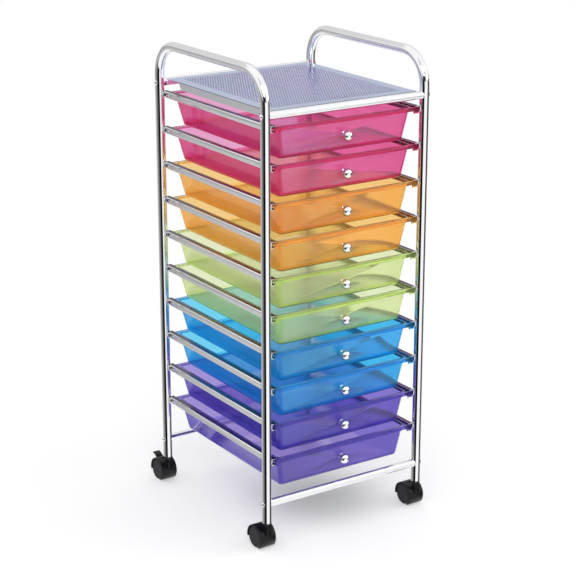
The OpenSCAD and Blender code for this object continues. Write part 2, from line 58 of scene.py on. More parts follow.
# Lengths are in metres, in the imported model's own frame.
LEVELS = 10
CORNERS = ("front_left", "front_right", "rear_left", "rear_right")
CROSS_BARS = ("shelf_bar_front", "shelf_bar_rear", "base_bar_front", "base_bar_rear")
COLOUR_OF_LEVEL = ("pink", "pink", "orange", "orange", "lime", "lime", "blue", "blue", "purple", "purple")

BODY_OF = {}
for body_name, members in frame["record"]["behaviour"]["bodies"].items():
    for member in members:
        BODY_OF[member] = body_name

# The drawers' tub: its size at the rim, the slopes of its walls, and the painted shade on its sides
DRAWER_HALF_WIDTH = 0.1571
DRAWER_LIP = 0.0105
DRAWER_BACK_RIM = 0.0095
DRAWER_SIDE_SLOPE = 12.5 / 66.5
DRAWER_FRONT_SLOPE = 9.8 / 66.5
DRAWER_BACK_SLOPE = 17 / 66.5
# A quarter turn and the slope of the front, on which the knob stands square
KNOB_TURN = math.radians(98.383)
# Painted shade: how deep the colour of each drawer's side walls is, standing in for the dark surroundings the
# sides mirror
SIDE_SHADE_DEPTH = {"pink": 0.78, "orange": 0.40, "lime": 0.20, "blue": 0.72, "purple": 0.72}

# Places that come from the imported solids
TUBE_LOW, TUBE_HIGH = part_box("frame_left")
BAR_LOW, BAR_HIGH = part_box("shelf_bar_front")
SHELF_LOW, SHELF_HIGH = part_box("shelf_panel")
TUBE_D = TUBE_HIGH.x - TUBE_LOW.x
BAR_D = BAR_HIGH.z - BAR_LOW.z
POST_X = -(TUBE_LOW.x + TUBE_HIGH.x) / 2
FRONT_POST_Y = TUBE_LOW.y + TUBE_D / 2
REAR_POST_Y = TUBE_HIGH.y - TUBE_D / 2
HANDLE_Z = TUBE_HIGH.z - TUBE_D / 2

# Fineness of the meshes
TUBE_STEPS = 48
BEND_STEPS = 24
SHARP_ANGLE = math.radians(35)
BEVEL_ANGLE = math.radians(32)
FLAT_ANGLE = math.radians(0.4)
WELD_DISTANCE = 0.000002
ON_AXIS = 1e-7
SAME_HEIGHT = 1e-5

WHITE = (1, 1, 1, 1)

# The studio that only mirrors see, as (degrees, grey) stops: bearings from the front, heights from level.
# A wall that darkens to a black screen by the camera, and a dark wall on the other side
WALLS = ((-180, 0.58), (-142, 0.52), (-115, 0.25), (-90, 0.14), (-70, 0.015), (-36, 0.0), (-30, 1.0),
         (38, 1.0), (44, 0.05), (78, 0.05), (96, 0.22), (125, 0.5), (180, 0.58))
WALLS_END = ((-36, 1.0), (-30, 0.0), (-1, 0.0), (8, 1.0))
# Screens in front of it: each darkens the bearings of the first row at the heights of the second
SCREENS = (
    (((-72, 1.0), (-64, 0.03), (-36, 0.03), (-30, 1.0)),
     ((-30, 1.0), (-24, 0.0), (20, 0.0), (32, 0.45), (60, 0.7), (75, 1.0))),
    (((-52, 1.0), (-46, 0.05), (-6, 0.05), (2, 1.0)),
     ((2, 1.0), (7, 0.0), (27, 0.0), (34, 1.0))),
    (((-180, 0.72), (-150, 0.72), (-138, 1.0), (104, 1.0), (118, 0.72), (180, 0.72)),
     ((-12, 1.0), (-2, 0.0), (26, 0.0), (44, 1.0))),
)


def length_property(label, text, value, least, most):
    return bpy.props.FloatProperty(
        name=label, description=text, default=value, min=least, max=most, unit="LENGTH", precision=4)


def colour_property(label, text, value):
    return bpy.props.FloatVectorProperty(
        name=label, description=text, default=value, size=3, min=0.0, max=1.0, subtype="COLOR")


class CartSizes(bpy.types.PropertyGroup):
    tube_diameter: length_property("Tube diameter", "Outer diameter of the side frame tube",
                                   TUBE_D, 0.01, 0.03)
    bend_radius: length_property("Bend radius", "Centre line radius of the handle bends", 0.065, 0.03, 0.1)
    bar_diameter: length_property("Bar diameter", "Outer diameter of the cross bars", BAR_D, 0.01, 0.03)
    hole_diameter: length_property("Hole diameter", "Diameter of the holes in the shelf",
                                   0.0036, 0.001, 0.005)
    hole_pitch: length_property("Hole pitch", "Distance between neighbouring holes in a row of the shelf",
                                0.0058, 0.004, 0.02)
    sheet_thickness: length_property("Sheet thickness", "Thickness of the shelf's sheet",
                                     0.001, 0.0005, 0.003)
    knob_diameter: length_property("Knob diameter", "Diameter of the knob's ball", 0.0205, 0.01, 0.03)
    knob_reach: length_property("Knob reach", "Height of the ball's centre above the drawer front",
                                0.0116, 0.008, 0.02)
    bolt_head: length_property("Bolt head", "Diameter of the frame bolts' domed heads", 0.0105, 0.006, 0.016)
    drawer_edge: length_property("Drawer edge", "Rounding of the drawers' edges", 0.0007, 0.0, 0.0012)
    rail_edge: length_property("Rail edge", "Rounding of the rails' cut edges", 0.00015, 0.0, 0.0005)
    caster_edge: length_property("Caster edge", "Rounding of the caster hoods' edges", 0.0005, 0.0, 0.0008)


class CartFinish(bpy.types.PropertyGroup):
    pink: colour_property("Pink", "Colour of light through a pink wall", (0.92, 0.46, 0.72))
    orange: colour_property("Orange", "Colour of light through an orange wall", (1.0, 0.725, 0.32))
    lime: colour_property("Lime", "Colour of light through a lime wall", (0.88, 0.93, 0.68))
    blue: colour_property("Blue", "Colour of light through a blue wall", (0.22, 0.76, 1.0))
    purple: colour_property("Purple", "Colour of light through a purple wall", (0.45, 0.36, 0.79))
    pink_deep: colour_property("Deep pink", "Pink where the plastic is thick and where shade is painted on the sides", (0.82, 0.06, 0.28))
    orange_deep: colour_property("Deep orange", "Orange where the plastic is thick and where shade is painted on the sides", (1.0, 0.60, 0.16))
    lime_deep: colour_property("Deep lime", "Lime where the plastic is thick and where shade is painted on the sides", (0.76, 0.93, 0.36))
    blue_deep: colour_property("Deep blue", "Blue where the plastic is thick and where shade is painted on the sides", (0.02, 0.48, 0.90))
    purple_deep: colour_property("Deep purple", "Purple where the plastic is thick and where shade is painted on the sides", (0.22, 0.17, 0.68))
    chrome: colour_property("Chrome", "Colour of the plated tubes", (0.96, 0.96, 0.97))
    # Rail top: dark colour painted on the rails' upward faces, a painted reflection of the dark things above
    # them
    rail_top: colour_property("Rail top", "Painted dark reflection on the upper faces of the rails", (0.16, 0.11, 0.19))
    shelf: colour_property("Shelf", "Colour of the plated shelf sheet", (0.60, 0.69, 0.94))
    # The flanges are the same plating as the sheet; their lighter colour is painted light
    shelf_flange: colour_property("Shelf flange", "Colour of the shelf's plated flanges", (0.86, 0.87, 0.90))
    black_plastic: colour_property("Black plastic", "Colour of the caster hoods", (0.005, 0.0045, 0.006))
    wheel_plastic: colour_property("Wheel plastic", "Colour of the wheels", (0.019, 0.016, 0.022))


class TubWall:
    """Outer plane of one wall of a drawer's tub."""

    def __init__(self, point, normal):
        self.point = Vector(point)
        self.normal = Vector(normal).normalized()

    def distance(self, place):
        """How far a place lies inside the wall's outer plane."""
        return (self.point - place).dot(self.normal)


# Node trees ---------------------------------------------------------------


def add_node(tree, kind, label, settings=None, **inputs):
    """Adds a node, sets its properties and its unlinked inputs."""
    node = tree.nodes.new(kind)
    node.label = label
    for key, value in (settings or {}).items():
        setattr(node, key, value)
    for key, value in inputs.items():
        node.inputs[key.replace("_", " ")].default_value = value
    return node


def wire(tree, *wires):
    """Links nodes, each wire given as (node, output, node, input)."""
    for source, output, target, entry in wires:
        tree.links.new(source.outputs[output], target.inputs[entry])


def maths(tree, label, operation, first, second=0.0, clamp=False):
    """Output of a Math node whose two values are numbers or sockets."""
    node = add_node(tree, "ShaderNodeMath", label, {"operation": operation, "use_clamp": clamp})
    for entry, value in zip(node.inputs, (first, second)):
        if isinstance(value, (int, float)):
            entry.default_value = value
        else:
            tree.links.new(value, entry)
    return node.outputs[0]


def new_tree(name, kind, inputs, outputs):
    """Node group with named inputs and outputs, given as (name, kind of socket, default)."""
    tree = bpy.data.node_groups.new(name, kind)
    for label, value_kind, default in inputs:
        item = tree.interface.new_socket(label, in_out="INPUT", socket_type="NodeSocket" + value_kind)
        if default is not None:
            item.default_value = default
    for label, value_kind in outputs:
        tree.interface.new_socket(label, in_out="OUTPUT", socket_type="NodeSocket" + value_kind)
    return tree, tree.nodes.new("NodeGroupInput"), tree.nodes.new("NodeGroupOutput")


def new_geometry_tree(name, inputs):
    """Geometry tree that also takes a material and gives out a mesh."""
    inputs = (*inputs, ("Material", "Material", None))
    return new_tree(name, "GeometryNodeTree", inputs, (("Mesh", "Geometry"),))


def paint_last(tree, start, end, node):
    """Gives the last node's geometry its material and hands it out."""
    paint = add_node(tree, "GeometryNodeSetMaterial", "Paint")
    wire(tree,
         (node, "Geometry", paint, "Geometry"),
         (start, "Material", paint, "Material"),
         (paint, "Geometry", end, "Mesh"))


def tube_tree():
    """Geometry tree that turns a line of edges into a bent round tube with closed ends."""
    name = "Bent tube"
    if name in bpy.data.node_groups:
        return bpy.data.node_groups[name]
    tree, start, end = new_geometry_tree(name, (
        ("Path", "Geometry", None),
        ("Radius", "Float", 0.01),
        ("Bend radius", "Float", 0.05),
        ("Bend steps", "Int", BEND_STEPS),
        ("Around", "Int", TUBE_STEPS),
    ))
    curve = add_node(tree, "GeometryNodeMeshToCurve", "Path as a curve")
    fillet = add_node(tree, "GeometryNodeFilletCurve", "Bends", {"mode": "POLY"})
    profile = add_node(tree, "GeometryNodeCurvePrimitiveCircle", "Section")
    sweep = add_node(tree, "GeometryNodeCurveToMesh", "Sweep", Fill_Caps=True)
    smooth = add_node(tree, "GeometryNodeSetShadeSmooth", "Smooth")
    real = add_node(tree, "GeometryNodeRealizeInstances", "Real")
    wire(tree,
         (start, "Path", curve, "Mesh"),
         (curve, "Curve", fillet, "Curve"),
         (start, "Bend steps", fillet, "Count"),
         (start, "Bend radius", fillet, "Radius"),
         (start, "Around", profile, "Resolution"),
         (start, "Radius", profile, "Radius"),
         (fillet, "Curve", sweep, "Curve"),
         (profile, "Curve", sweep, "Profile Curve"),
         (sweep, "Mesh", smooth, "Geometry"),
         (smooth, "Geometry", real, "Geometry"))
    paint_last(tree, start, end, real)
    return tree


def copies_tree():
    """Geometry tree that puts a piece on every point, turned by the point's own 'turn'."""
    name = "Copies on points"
    if name in bpy.data.node_groups:
        return bpy.data.node_groups[name]
    tree, start, end = new_geometry_tree(name, (
        ("Points", "Geometry", None),
        ("Piece", "Object", None),
    ))
    info = add_node(tree, "GeometryNodeObjectInfo", "Piece", {"transform_space": "ORIGINAL"})
    turn = add_node(tree, "GeometryNodeInputNamedAttribute", "Turn", {"data_type": "FLOAT_VECTOR"},
                    Name="turn")
    euler = add_node(tree, "FunctionNodeEulerToRotation", "Turn as rotation")
    copies = add_node(tree, "GeometryNodeInstanceOnPoints", "Copies")
    real = add_node(tree, "GeometryNodeRealizeInstances", "Real")
    wire(tree,
         (start, "Piece", info, "Object"),
         (start, "Points", copies, "Points"),
         (info, "Geometry", copies, "Instance"),
         (turn, "Attribute", euler, "Euler"),
         (euler, "Rotation", copies, "Rotation"),
         (copies, "Instances", real, "Geometry"))
    paint_last(tree, start, end, real)
    return tree


def staggered_tree():
    """Geometry tree that lays a cell on a staggered grid, six neighbours round each."""
    name = "Staggered cells"
    if name in bpy.data.node_groups:
        return bpy.data.node_groups[name]
    tree, start, end = new_geometry_tree(name, (
        ("Seed", "Geometry", None),
        ("Cell", "Object", None),
        ("Pitch", "Float", 0.006),
        ("Columns", "Int", 10),
        ("Rows", "Int", 11),
    ))
    pitch, columns, rows = (start.outputs[n] for n in ("Pitch", "Columns", "Rows"))
    row_step = maths(tree, "Row step", "MULTIPLY", pitch, math.sin(math.radians(60)))
    width = maths(tree, "Width", "MULTIPLY", maths(tree, "Gaps across", "SUBTRACT", columns, 1), pitch)
    depth = maths(tree, "Depth", "MULTIPLY", maths(tree, "Gaps back", "SUBTRACT", rows, 1), row_step)
    grid = add_node(tree, "GeometryNodeMeshGrid", "Rows and columns")
    for value, entry in ((width, "Size X"), (depth, "Size Y"), (columns, "Vertices X"), (rows, "Vertices Y")):
        tree.links.new(value, grid.inputs[entry])
    place = add_node(tree, "GeometryNodeInputPosition", "Place")
    split = add_node(tree, "ShaderNodeSeparateXYZ", "Parts")
    wire(tree, (place, "Position", split, 0))
    row = maths(tree, "Row number", "ROUND", maths(tree, "Row", "DIVIDE", split.outputs["Y"], row_step))
    odd = maths(tree, "Odd row", "PINGPONG", row, 1)
    half = maths(tree, "Half", "MULTIPLY", maths(tree, "Shift", "MULTIPLY", odd, pitch), 0.5)
    offset = add_node(tree, "ShaderNodeCombineXYZ", "Half a pitch")
    tree.links.new(half, offset.inputs["X"])
    moved = add_node(tree, "GeometryNodeSetPosition", "Stagger")
    info = add_node(tree, "GeometryNodeObjectInfo", "Cell", {"transform_space": "ORIGINAL"})
    copies = add_node(tree, "GeometryNodeInstanceOnPoints", "Cells")
    real = add_node(tree, "GeometryNodeRealizeInstances", "Real")
    merge = add_node(tree, "GeometryNodeMergeByDistance", "Join cells", Distance=0.00002)
    wire(tree,
         (grid, "Mesh", moved, "Geometry"),
         (offset, "Vector", moved, "Offset"),
         (start, "Cell", info, "Object"),
         (moved, "Geometry", copies, "Points"),
         (info, "Geometry", copies, "Instance"),
         (copies, "Instances", real, "Geometry"),
         (real, "Geometry", merge, "Geometry"))
    paint_last(tree, start, end, merge)
    return tree


def evaluated_mesh(obj):
    """Plain copy of an object's mesh with its modifiers applied."""
    bpy.context.view_layer.update()
    depsgraph = bpy.context.evaluated_depsgraph_get()
    return bpy.data.meshes.new_from_object(obj.evaluated_get(depsgraph), depsgraph=depsgraph)


def placed(name, mesh):
    """New object in the scene's own collection."""
    obj = bpy.data.objects.new(name, mesh)
    bpy.context.scene.collection.objects.link(obj)
    return obj


def grown_mesh(seed, tree, values):
    """Plain mesh that a geometry tree makes from a seed mesh."""
    carrier = placed("carrier", seed)
    modifier = carrier.modifiers.new(tree.name, "NODES")
    modifier.node_group = tree
    for item in tree.interface.items_tree:
        if item.item_type == "SOCKET" and item.in_out == "INPUT" and item.name in values:
            modifier[item.identifier] = values[item.name]
    mesh = evaluated_mesh(carrier)
    bpy.data.objects.remove(carrier)
    return mesh


# Materials ----------------------------------------------------------------

FINISH_OUTPUTS = (("Colour", "Color"), ("Roughness", "Float"), ("Height", "Float"))


def plating_group():
    """Shader group for plated metal: cloudy polish, fine ripple and rubbed spots."""
    name = "Plating"
    if name in bpy.data.node_groups:
        return bpy.data.node_groups[name]
    tree, start, end = new_tree(name, "ShaderNodeTree", (
        ("Vector", "Vector", None),
        ("Colour", "Color", (0.8, 0.8, 0.8, 1)),
        ("Roughness", "Float", 0.1),
        ("Clouding", "Float", 0.05),
        ("Scale", "Float", 60.0),
    ), FINISH_OUTPUTS)
    cloud = add_node(tree, "ShaderNodeTexNoise", "Handling marks", Detail=3.0)
    ripple = add_node(tree, "ShaderNodeTexNoise", "Ripple", Scale=900.0, Detail=2.0)
    rough = add_node(tree, "ShaderNodeMapRange", "Cloudy polish", From_Min=0.35, From_Max=0.75)
    most = add_node(tree, "ShaderNodeMath", "Dullest", {"operation": "ADD"})
    shade = add_node(tree, "ShaderNodeMix", "Dull spots", {"data_type": "RGBA", "blend_type": "MULTIPLY"},
                     B=(0.93, 0.93, 0.95, 1))
    wire(tree,
         (start, "Vector", cloud, "Vector"),
         (start, "Vector", ripple, "Vector"),
         (start, "Scale", cloud, "Scale"),
         (start, "Roughness", most, 0),
         (start, "Clouding", most, 1),
         (cloud, "Fac", rough, "Value"),
         (start, "Roughness", rough, "To Min"),
         (most, 0, rough, "To Max"),
         (cloud, "Fac", shade, "Factor"),
         (start, "Colour", shade, "A"),
         (shade, "Result", end, "Colour"),
         (rough, "Result", end, "Roughness"),
         (ripple, "Fac", end, "Height"))
    return tree


def moulding_group():
    """Shader group for moulded plastic: clear and deep colour, soft flow clouds, fine grain."""
    name = "Moulding"
    if name in bpy.data.node_groups:
        return bpy.data.node_groups[name]
    tree, start, end = new_tree(name, "ShaderNodeTree", (
        ("Vector", "Vector", None),
        ("Colour", "Color", (0.5, 0.5, 0.5, 1)),
        ("Deep Colour", "Color", (0.2, 0.2, 0.2, 1)),
        ("Depth", "Float", 0.0),
        ("Roughness", "Float", 0.2),
        ("Grain Scale", "Float", 1500.0),
    ), FINISH_OUTPUTS)
    flow = add_node(tree, "ShaderNodeTexNoise", "Flow clouds", Scale=22.0, Detail=2.0, Distortion=0.6)
    grain = add_node(tree, "ShaderNodeTexNoise", "Grain", Detail=2.0)
    clouds = add_node(tree, "ShaderNodeMapRange", "Cloud strength", To_Min=-0.06, To_Max=0.10)
    total = add_node(tree, "ShaderNodeMath", "Depth and clouds", {"operation": "ADD", "use_clamp": True})
    tint = add_node(tree, "ShaderNodeMix", "Tint", {"data_type": "RGBA"})
    rough = add_node(tree, "ShaderNodeMath", "Satin spots", {"operation": "MULTIPLY_ADD"})
    rough.inputs[1].default_value = 0.05
    wire(tree,
         (start, "Vector", flow, "Vector"),
         (start, "Vector", grain, "Vector"),
         (start, "Grain Scale", grain, "Scale"),
         (flow, "Fac", clouds, "Value"),
         (start, "Depth", total, 0),
         (clouds, "Result", total, 1),
         (total, 0, tint, "Factor"),
         (start, "Colour", tint, "A"),
         (start, "Deep Colour", tint, "B"),
         (grain, "Fac", rough, 0),
         (start, "Roughness", rough, 2),
         (tint, "Result", end, "Colour"),
         (rough, 0, end, "Roughness"),
         (grain, "Fac", end, "Height"))
    return tree


def finish_material(name, group, group_values, shader_values, bump, depth_attribute=None):
    """Material that feeds a shared group into one Principled shader."""
    if name in bpy.data.materials:
        return bpy.data.materials[name]
    material = bpy.data.materials.new(name)
    material.use_nodes = True
    tree = material.node_tree
    shader = tree.nodes["Principled BSDF"]
    for key, value in shader_values.items():
        shader.inputs[key].default_value = value
    where = add_node(tree, "ShaderNodeTexCoord", "Place on the piece")
    effect = add_node(tree, "ShaderNodeGroup", group.name, {"node_tree": group})
    for key, value in group_values.items():
        effect.inputs[key].default_value = value
    if depth_attribute:
        depth = add_node(tree, "ShaderNodeAttribute", "Depth", {"attribute_name": depth_attribute})
        wire(tree, (depth, "Fac", effect, "Depth"))
    relief = add_node(tree, "ShaderNodeBump", "Relief", Distance=bump)
    wire(tree,
         (where, "Object", effect, "Vector"),
         (effect, "Colour", shader, "Base Color"),
         (effect, "Roughness", shader, "Roughness"),
         (effect, "Height", relief, "Height"),
         (relief, "Normal", shader, "Normal"))
    return material


def rgba(colour):
    return (*colour, 1.0)


def plated(name, colour, roughness, clouding, scale=60.0):
    values = {"Colour": rgba(colour), "Roughness": roughness, "Clouding": clouding, "Scale": scale}
    return finish_material(name, plating_group(), values, {"Metallic": 1.0}, bump=0.000004)


def moulded(name, colour, roughness, grain_scale=1500.0):
    values = {"Colour": rgba(colour), "Deep Colour": rgba([c * 0.6 for c in colour]),
              "Roughness": roughness, "Grain Scale": grain_scale}
    return finish_material(name, moulding_group(), values, {"Specular IOR Level": 0.28}, bump=0.00002)


def tinted(colour_name):
    """Clear coloured plastic; its shadow is lighter than the plastic itself."""
    name = f"Clear {colour_name} moulding"
    if name in bpy.data.materials:
        return bpy.data.materials[name]
    finish = bpy.context.scene.cart_finish
    colour, deep = getattr(finish, colour_name), getattr(finish, colour_name + "_deep")
    values = {"Colour": rgba(colour), "Deep Colour": rgba(deep), "Roughness": 0.07, "Grain Scale": 700.0}
    shader = {"Transmission Weight": 0.92, "IOR": 1.45, "Specular IOR Level": 0.34}
    material = finish_material(name, moulding_group(), values, shader, bump=0.00001, depth_attribute="depth")
    tree = material.node_tree
    path = add_node(tree, "ShaderNodeLightPath", "Ray")
    least_light, colour_share = 0.40, 0.37
    shadow = rgba([least_light + colour_share * c for c in colour])
    clear = add_node(tree, "ShaderNodeBsdfTransparent", "Shadow", Color=shadow)
    mix = add_node(tree, "ShaderNodeMixShader", "Plastic or shadow")
    wire(tree,
         (path, "Is Shadow Ray", mix, "Fac"),
         (tree.nodes["Principled BSDF"], 0, mix, 1),
         (clear, 0, mix, 2),
         (mix, 0, tree.nodes["Material Output"], "Surface"))
    return material


# Meshes -------------------------------------------------------------------


def new_piece(name, mesh, material):
    """Object at the origin with a smooth-shaded mesh that keeps its sharp edges."""
    mesh.name = name
    mesh.materials.clear()
    mesh.materials.append(material)
    for polygon in mesh.polygons:
        polygon.use_smooth = True
        polygon.material_index = 0
    mesh.set_sharp_from_angle(angle=SHARP_ANGLE)
    return placed(name, mesh)


def second_material(mesh, material, belongs):
    """Gives a second material to the faces that belong to it."""
    mesh.materials.append(material)
    for polygon in mesh.polygons:
        if belongs(polygon):
            polygon.material_index = 1


def seat(piece, *nodes):
    """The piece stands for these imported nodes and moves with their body."""
    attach(piece, BODY_OF[nodes[0]])
    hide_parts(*nodes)
    return piece


def mesh_from(name, work):
    mesh = bpy.data.meshes.new(name)
    work.to_mesh(mesh)
    work.free()
    return mesh


def closed_mesh(name, work):
    """Mesh of closed surfaces with their faces turned outwards."""
    bmesh.ops.recalc_face_normals(work, faces=work.faces)
    return mesh_from(name, work)


def rounded_copy(node, name, material, edge):
    """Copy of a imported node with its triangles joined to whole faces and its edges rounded."""
    work = bmesh.new()
    work.from_mesh(frame["nodes"][node].data)
    bmesh.ops.remove_doubles(work, verts=work.verts, dist=WELD_DISTANCE)
    bmesh.ops.dissolve_limit(work, angle_limit=FLAT_ANGLE, verts=work.verts, edges=work.edges)
    carrier = placed("carrier", mesh_from(name, work))
    bevel = carrier.modifiers.new("Edges", "BEVEL")
    bevel.width = edge
    bevel.segments = 2
    bevel.limit_method = "ANGLE"
    bevel.angle_limit = BEVEL_ANGLE
    bevel.use_clamp_overlap = True
    rounded = evaluated_mesh(carrier)
    bpy.data.objects.remove(carrier)
    return seat(new_piece(name, rounded, material), node)


def on_circle(radius, angle, height=0.0):
    return Vector((radius * math.cos(angle), radius * math.sin(angle), height))


def profile_rings(work, profile, steps, matrix):
    """Rings of points about local Z from (radius, height) pairs; on the axis a ring is one point."""
    rings = []
    for radius, height in profile:
        if radius < ON_AXIS:
            rings.append([work.verts.new(matrix @ Vector((0, 0, height)))])
        else:
            rings.append([work.verts.new(matrix @ on_circle(radius, 2 * math.pi * step / steps, height))
                          for step in range(steps)])
    return rings


def close_rings(work, rings, steps):
    """Faces between neighbouring rings; a ring of one point closes to a fan."""
    for lower, upper in zip(rings, rings[1:]):
        for step in range(steps):
            after = (step + 1) % steps
            if len(lower) == 1 and len(upper) == 1:
                break
            if len(lower) == 1:
                work.faces.new((lower[0], upper[after], upper[step]))
            elif len(upper) == 1:
                work.faces.new((lower[step], lower[after], upper[0]))
            else:
                work.faces.new((lower[step], lower[after], upper[after], upper[step]))


def revolve(work, profile, steps, matrix):
    """Closed surface of revolution about local Z, from a profile that ends on the axis."""
    close_rings(work, profile_rings(work, profile, steps, matrix), steps)


def arc(centre_r, centre_h, radius, start, end, steps):
    """Profile points on an arc, angles in degrees from the outward direction."""
    points = []
    for step in range(steps + 1):
        angle = math.radians(start + (end - start) * step / steps)
        points.append((max(centre_r + radius * math.cos(angle), 0.0), centre_h + radius * math.sin(angle)))
    return points


def tube(name, points, diameter, bend_radius, material):
    """Bent round tube along a line of points."""
    path = bpy.data.meshes.new("path")
    path.from_pydata(points, [(i, i + 1) for i in range(len(points) - 1)], [])
    mesh = grown_mesh(path, tube_tree(), {
        "Radius": diameter / 2, "Bend radius": bend_radius, "Bend steps": BEND_STEPS, "Around": TUBE_STEPS,
        "Material": material})
    work = bmesh.new()
    work.from_mesh(mesh)
    return new_piece(name, closed_mesh(name, work), material)


# Operators ----------------------------------------------------------------


class CART_OT_stage(bpy.types.Operator):
    """Sets the pale floor, the soft lights, the world and the camera"""
    bl_idname = "cart.stage"
    bl_label = "Stage"

    def execute(self, context):
        scene = context.scene
        scene.view_settings.view_transform = "Standard"
        self.floor()
        self.world(scene)
        self.lamps()
        self.camera(scene)
        return {"FINISHED"}

    def floor(self):
        """Pale disc that runs out into the white; it glows a little to what looks at it."""
        radius, steps, glow_share = 1.7, 96, 0.36
        work = bmesh.new()
        bmesh.ops.create_circle(work, cap_ends=True, radius=radius, segments=steps)
        floor = placed("floor", mesh_from("floor", work))
        material = bpy.data.materials.new("Pale floor")
        material.use_nodes = True
        tree = material.node_tree
        shader = tree.nodes["Principled BSDF"]
        for key, value in (("Roughness", 0.9), ("Specular IOR Level", 0.0), ("Emission Color", WHITE)):
            shader.inputs[key].default_value = value
        path = add_node(tree, "ShaderNodeLightPath", "Ray")
        camera, through = path.outputs["Is Camera Ray"], path.outputs["Is Transmission Ray"]
        seen = maths(tree, "Seen", "ADD", camera, through, clamp=True)
        # The floor is painted darker under the cart: a painted shadow.
        self.shade(tree, shader, maths(tree, "Share", "MULTIPLY", seen, glow_share))
        floor.data.materials.append(material)
        floor.visible_glossy = False

    def shade(self, tree, shader, share):
        """Painted shadow: soft grey painted into the floor's colour and glow between the casters, where the
        light of every side is held off.
        """
        place = add_node(tree, "ShaderNodeTexCoord", "Place")
        reach = add_node(tree, "ShaderNodeMapping", "Under the cart", {"vector_type": "TEXTURE"},
                         Location=(0.05, -0.07, 0), Scale=(0.2, 0.21, 1))
        away = add_node(tree, "ShaderNodeVectorMath", "Distance", {"operation": "LENGTH"})
        clear = add_node(tree, "ShaderNodeMapRange", "Clear of the cart",
                         {"interpolation_type": "SMOOTHSTEP"}, From_Min=0.05, From_Max=1.0)
        # Colour of the painted shadow, a little yellow-green to offset the lavender light that comes through
        # the drawers
        colour = add_node(tree, "ShaderNodeMix", "Colour", {"data_type": "RGBA"},
                          A=(0.47, 0.49, 0.41, 1), B=(0.76, 0.76, 0.76, 1))
        left = add_node(tree, "ShaderNodeMapRange", "Glow left in the painted shadow", To_Min=0.66)
        wire(tree,
             (place, "Object", reach, "Vector"),
             (reach, 0, away, 0),
             (away, "Value", clear, "Value"),
             (clear, "Result", colour, "Factor"),
             (colour, "Result", shader, "Base Color"),
             (clear, "Result", left, "Value"))
        # The floor's glow is painted lower in the same patch, as part of the painted shadow
        glow = maths(tree, "Glow", "MULTIPLY", share, left.outputs["Result"])
        tree.links.new(glow, shader.inputs["Emission Strength"])

    def world(self, scene):
        """White to the camera; metal sees a bright studio with dark screens on two sides."""
        world = bpy.data.worlds.new("Studio")
        scene.world = world
        world.use_nodes = True
        tree = world.node_tree
        white = tree.nodes["Background"]
        white.inputs["Color"].default_value = WHITE
        path = add_node(tree, "ShaderNodeLightPath", "Ray")
        camera, glossy, through = (
            path.outputs[ray] for ray in ("Is Camera Ray", "Is Glossy Ray", "Is Transmission Ray"))
        level = add_node(tree, "ShaderNodeMapRange", "Level", To_Min=0.80, To_Max=1.0)
        studio = add_node(tree, "ShaderNodeBackground", "Studio", Color=WHITE)
        mix = add_node(tree, "ShaderNodeMixShader", "White or studio")
        tree.links.new(maths(tree, "Seen", "MAXIMUM", camera, through), level.inputs["Value"])
        tree.links.new(self.studio_grey(tree), studio.inputs["Strength"])
        # Light through rough glass counts as glossy as well, and that light sees plain white
        tree.links.new(maths(tree, "Mirrored", "SUBTRACT", glossy, through), mix.inputs["Fac"])
        wire(tree,
             (level, "Result", white, "Strength"),
             (white, 0, mix, 1),
             (studio, 0, mix, 2),
             (mix, 0, tree.nodes["World Output"], "Surface"))

    def studio_grey(self, tree):
        """Grey of the studio in every direction, from the stops of its walls and screens."""
        direction = add_node(tree, "ShaderNodeTexCoord", "Direction")
        split = add_node(tree, "ShaderNodeSeparateXYZ", "Parts")
        wire(tree, (direction, "Generated", split, 0))
        back = maths(tree, "Back", "MULTIPLY", split.outputs["Y"], -1.0)
        bearing = maths(tree, "Bearing", "ARCTAN2", split.outputs["X"], back)
        turn = maths(tree, "Turn", "ADD", maths(tree, "Turns", "DIVIDE", bearing, 2 * math.pi), 0.5)
        height = maths(tree, "Height", "ADD", maths(tree, "Half", "MULTIPLY", split.outputs["Z"], 0.5), 0.5)

        def ramp(value, stops):
            """Grey by position along a range that runs from 0 to 1."""
            node = add_node(tree, "ShaderNodeValToRGB", "Greys")
            elements = node.color_ramp.elements
            for place, (position, grey) in enumerate(stops):
                element = elements[place] if place < 2 else elements.new(position)
                element.position = position
                element.color = (grey, grey, grey, 1)
            tree.links.new(value, node.inputs["Fac"])
            return node.outputs["Color"]

        def dark(bearings, heights):
            """Dark where both the bearing and the height are within the screen."""
            around = ramp(turn, [(degrees / 360 + 0.5, grey) for degrees, grey in bearings])
            above = ramp(height, [(0.5 + 0.5 * math.sin(math.radians(degrees)), grey)
                                  for degrees, grey in heights])
            return maths(tree, "Lighter", "MAXIMUM", around, above)

        grey = dark(WALLS, WALLS_END)
        for bearings, heights in SCREENS:
            grey = maths(tree, "Screened", "MULTIPLY", grey, dark(bearings, heights))
        return grey

    def lamps(self):
        aim = Vector((0, 0, 0.5))
        lamps = (("key lamp", (-1.6, -2.4, 2.6), 1.6, 26), ("fill lamp", (2.2, -1.6, 1.8), 1.4, 9))
        for name, place, size, power in lamps:
            data = bpy.data.lights.new(name, "AREA")
            data.size = size
            data.energy = power
            lamp = placed(name, data)
            lamp.location = place
            lamp.rotation_euler = (Vector(place) - aim).to_track_quat("Z", "Y").to_euler()

